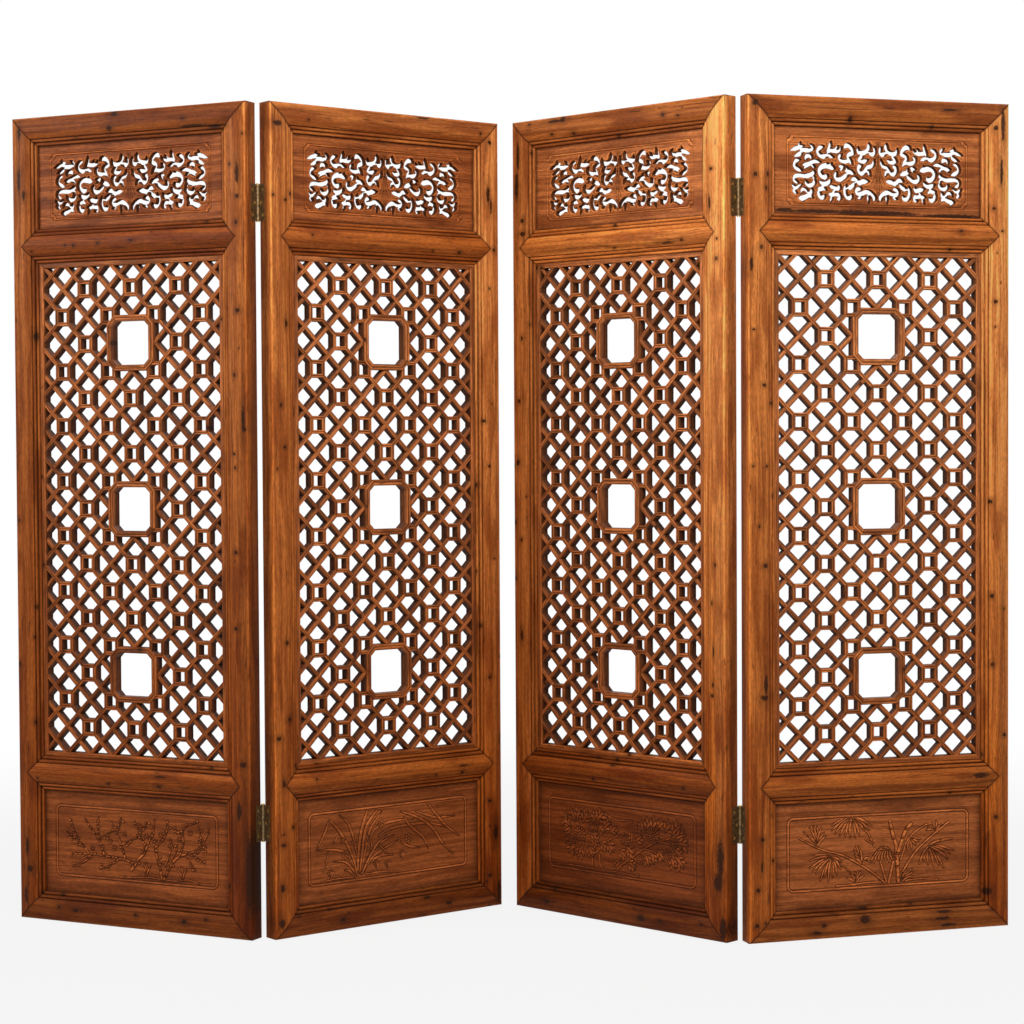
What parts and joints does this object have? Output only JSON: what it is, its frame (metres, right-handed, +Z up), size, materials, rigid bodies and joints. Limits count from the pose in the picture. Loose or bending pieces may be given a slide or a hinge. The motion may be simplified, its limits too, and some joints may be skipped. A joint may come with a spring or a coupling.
{
  "type": "folding screen",
  "caption": "Free-standing carved wooden folding screen in two hinged pairs of leaves, with pierced top boards, octagon-and-cross lattice with small windows, and relief-carved lower boards.",
  "frame": {"origin": "on the floor, under the middle of the standing screen's box", "axes": "+X along the row from the left leaf to the right leaf, the fronts look towards -Y, +Z up"},
  "size_m": [2.2404, 0.485, 1.83],
  "materials": {
    "frame_wood": "waxed, orange-brown, with a fine straight grain",
    "board_wood": "waxed, red-brown, darker in the recesses",
    "lattice_wood": "waxed, orange-brown, darker between the bars",
    "hinge_plate": "aged, dark bronze-brown",
    "hinge_pin": "bright on the knuckles where it is worn"
  },
  "bodies": {
    "left_outer": {"left_outer_left_stile": "frame_wood", "left_outer_right_stile": "frame_wood", "left_outer_top_rail": "frame_wood", "left_outer_upper_cross_rail": "frame_wood", "left_outer_lower_cross_rail": "frame_wood", "left_outer_bottom_rail": "frame_wood", "left_outer_pierced_board": "board_wood", "left_outer_lattice": "lattice_wood", "left_outer_edge_sticks": "frame_wood", "left_outer_window_frames": "frame_wood", "left_outer_carved_board": "board_wood", "left_outer_hinge_halves": "hinge_plate", "left_outer_hinge_screws": "hinge_plate"},
    "left_inner": {"left_inner_left_stile": "frame_wood", "left_inner_right_stile": "frame_wood", "left_inner_top_rail": "frame_wood", "left_inner_upper_cross_rail": "frame_wood", "left_inner_lower_cross_rail": "frame_wood", "left_inner_bottom_rail": "frame_wood", "left_inner_pierced_board": "board_wood", "left_inner_lattice": "lattice_wood", "left_inner_edge_sticks": "frame_wood", "left_inner_window_frames": "frame_wood", "left_inner_carved_board": "board_wood", "left_inner_hinge_halves": "hinge_plate", "left_inner_hinge_screws": "hinge_plate", "left_hinge_pins": "hinge_pin"},
    "right_inner": {"right_inner_left_stile": "frame_wood", "right_inner_right_stile": "frame_wood", "right_inner_top_rail": "frame_wood", "right_inner_upper_cross_rail": "frame_wood", "right_inner_lower_cross_rail": "frame_wood", "right_inner_bottom_rail": "frame_wood", "right_inner_pierced_board": "board_wood", "right_inner_lattice": "lattice_wood", "right_inner_edge_sticks": "frame_wood", "right_inner_window_frames": "frame_wood", "right_inner_carved_board": "board_wood", "right_inner_hinge_halves": "hinge_plate", "right_inner_hinge_screws": "hinge_plate"},
    "right_outer": {"right_outer_left_stile": "frame_wood", "right_outer_right_stile": "frame_wood", "right_outer_top_rail": "frame_wood", "right_outer_upper_cross_rail": "frame_wood", "right_outer_lower_cross_rail": "frame_wood", "right_outer_bottom_rail": "frame_wood", "right_outer_pierced_board": "board_wood", "right_outer_lattice": "lattice_wood", "right_outer_edge_sticks": "frame_wood", "right_outer_window_frames": "frame_wood", "right_outer_carved_board": "board_wood", "right_outer_hinge_halves": "hinge_plate", "right_outer_hinge_screws": "hinge_plate", "right_hinge_pins": "hinge_pin"}
  },
  "joints": [
    {"name": "left_fold", "type": "hinge", "parent": "left_inner", "child": "left_outer", "pos_m": [-0.53687, -0.13869, 0], "axis": [0, 0, 1], "range_deg": [-116, 64]},
    {"name": "right_pair_slide", "type": "slide", "parent": "left_inner", "child": "right_inner", "axis": [1, 0, 0], "range_m": [0, 0.3]},
    {"name": "right_fold", "type": "hinge", "parent": "right_inner", "child": "right_outer", "pos_m": [0.50753, -0.19746, 0], "axis": [0, 0, 1], "range_deg": [-60.5, 119.5]}
  ]
}
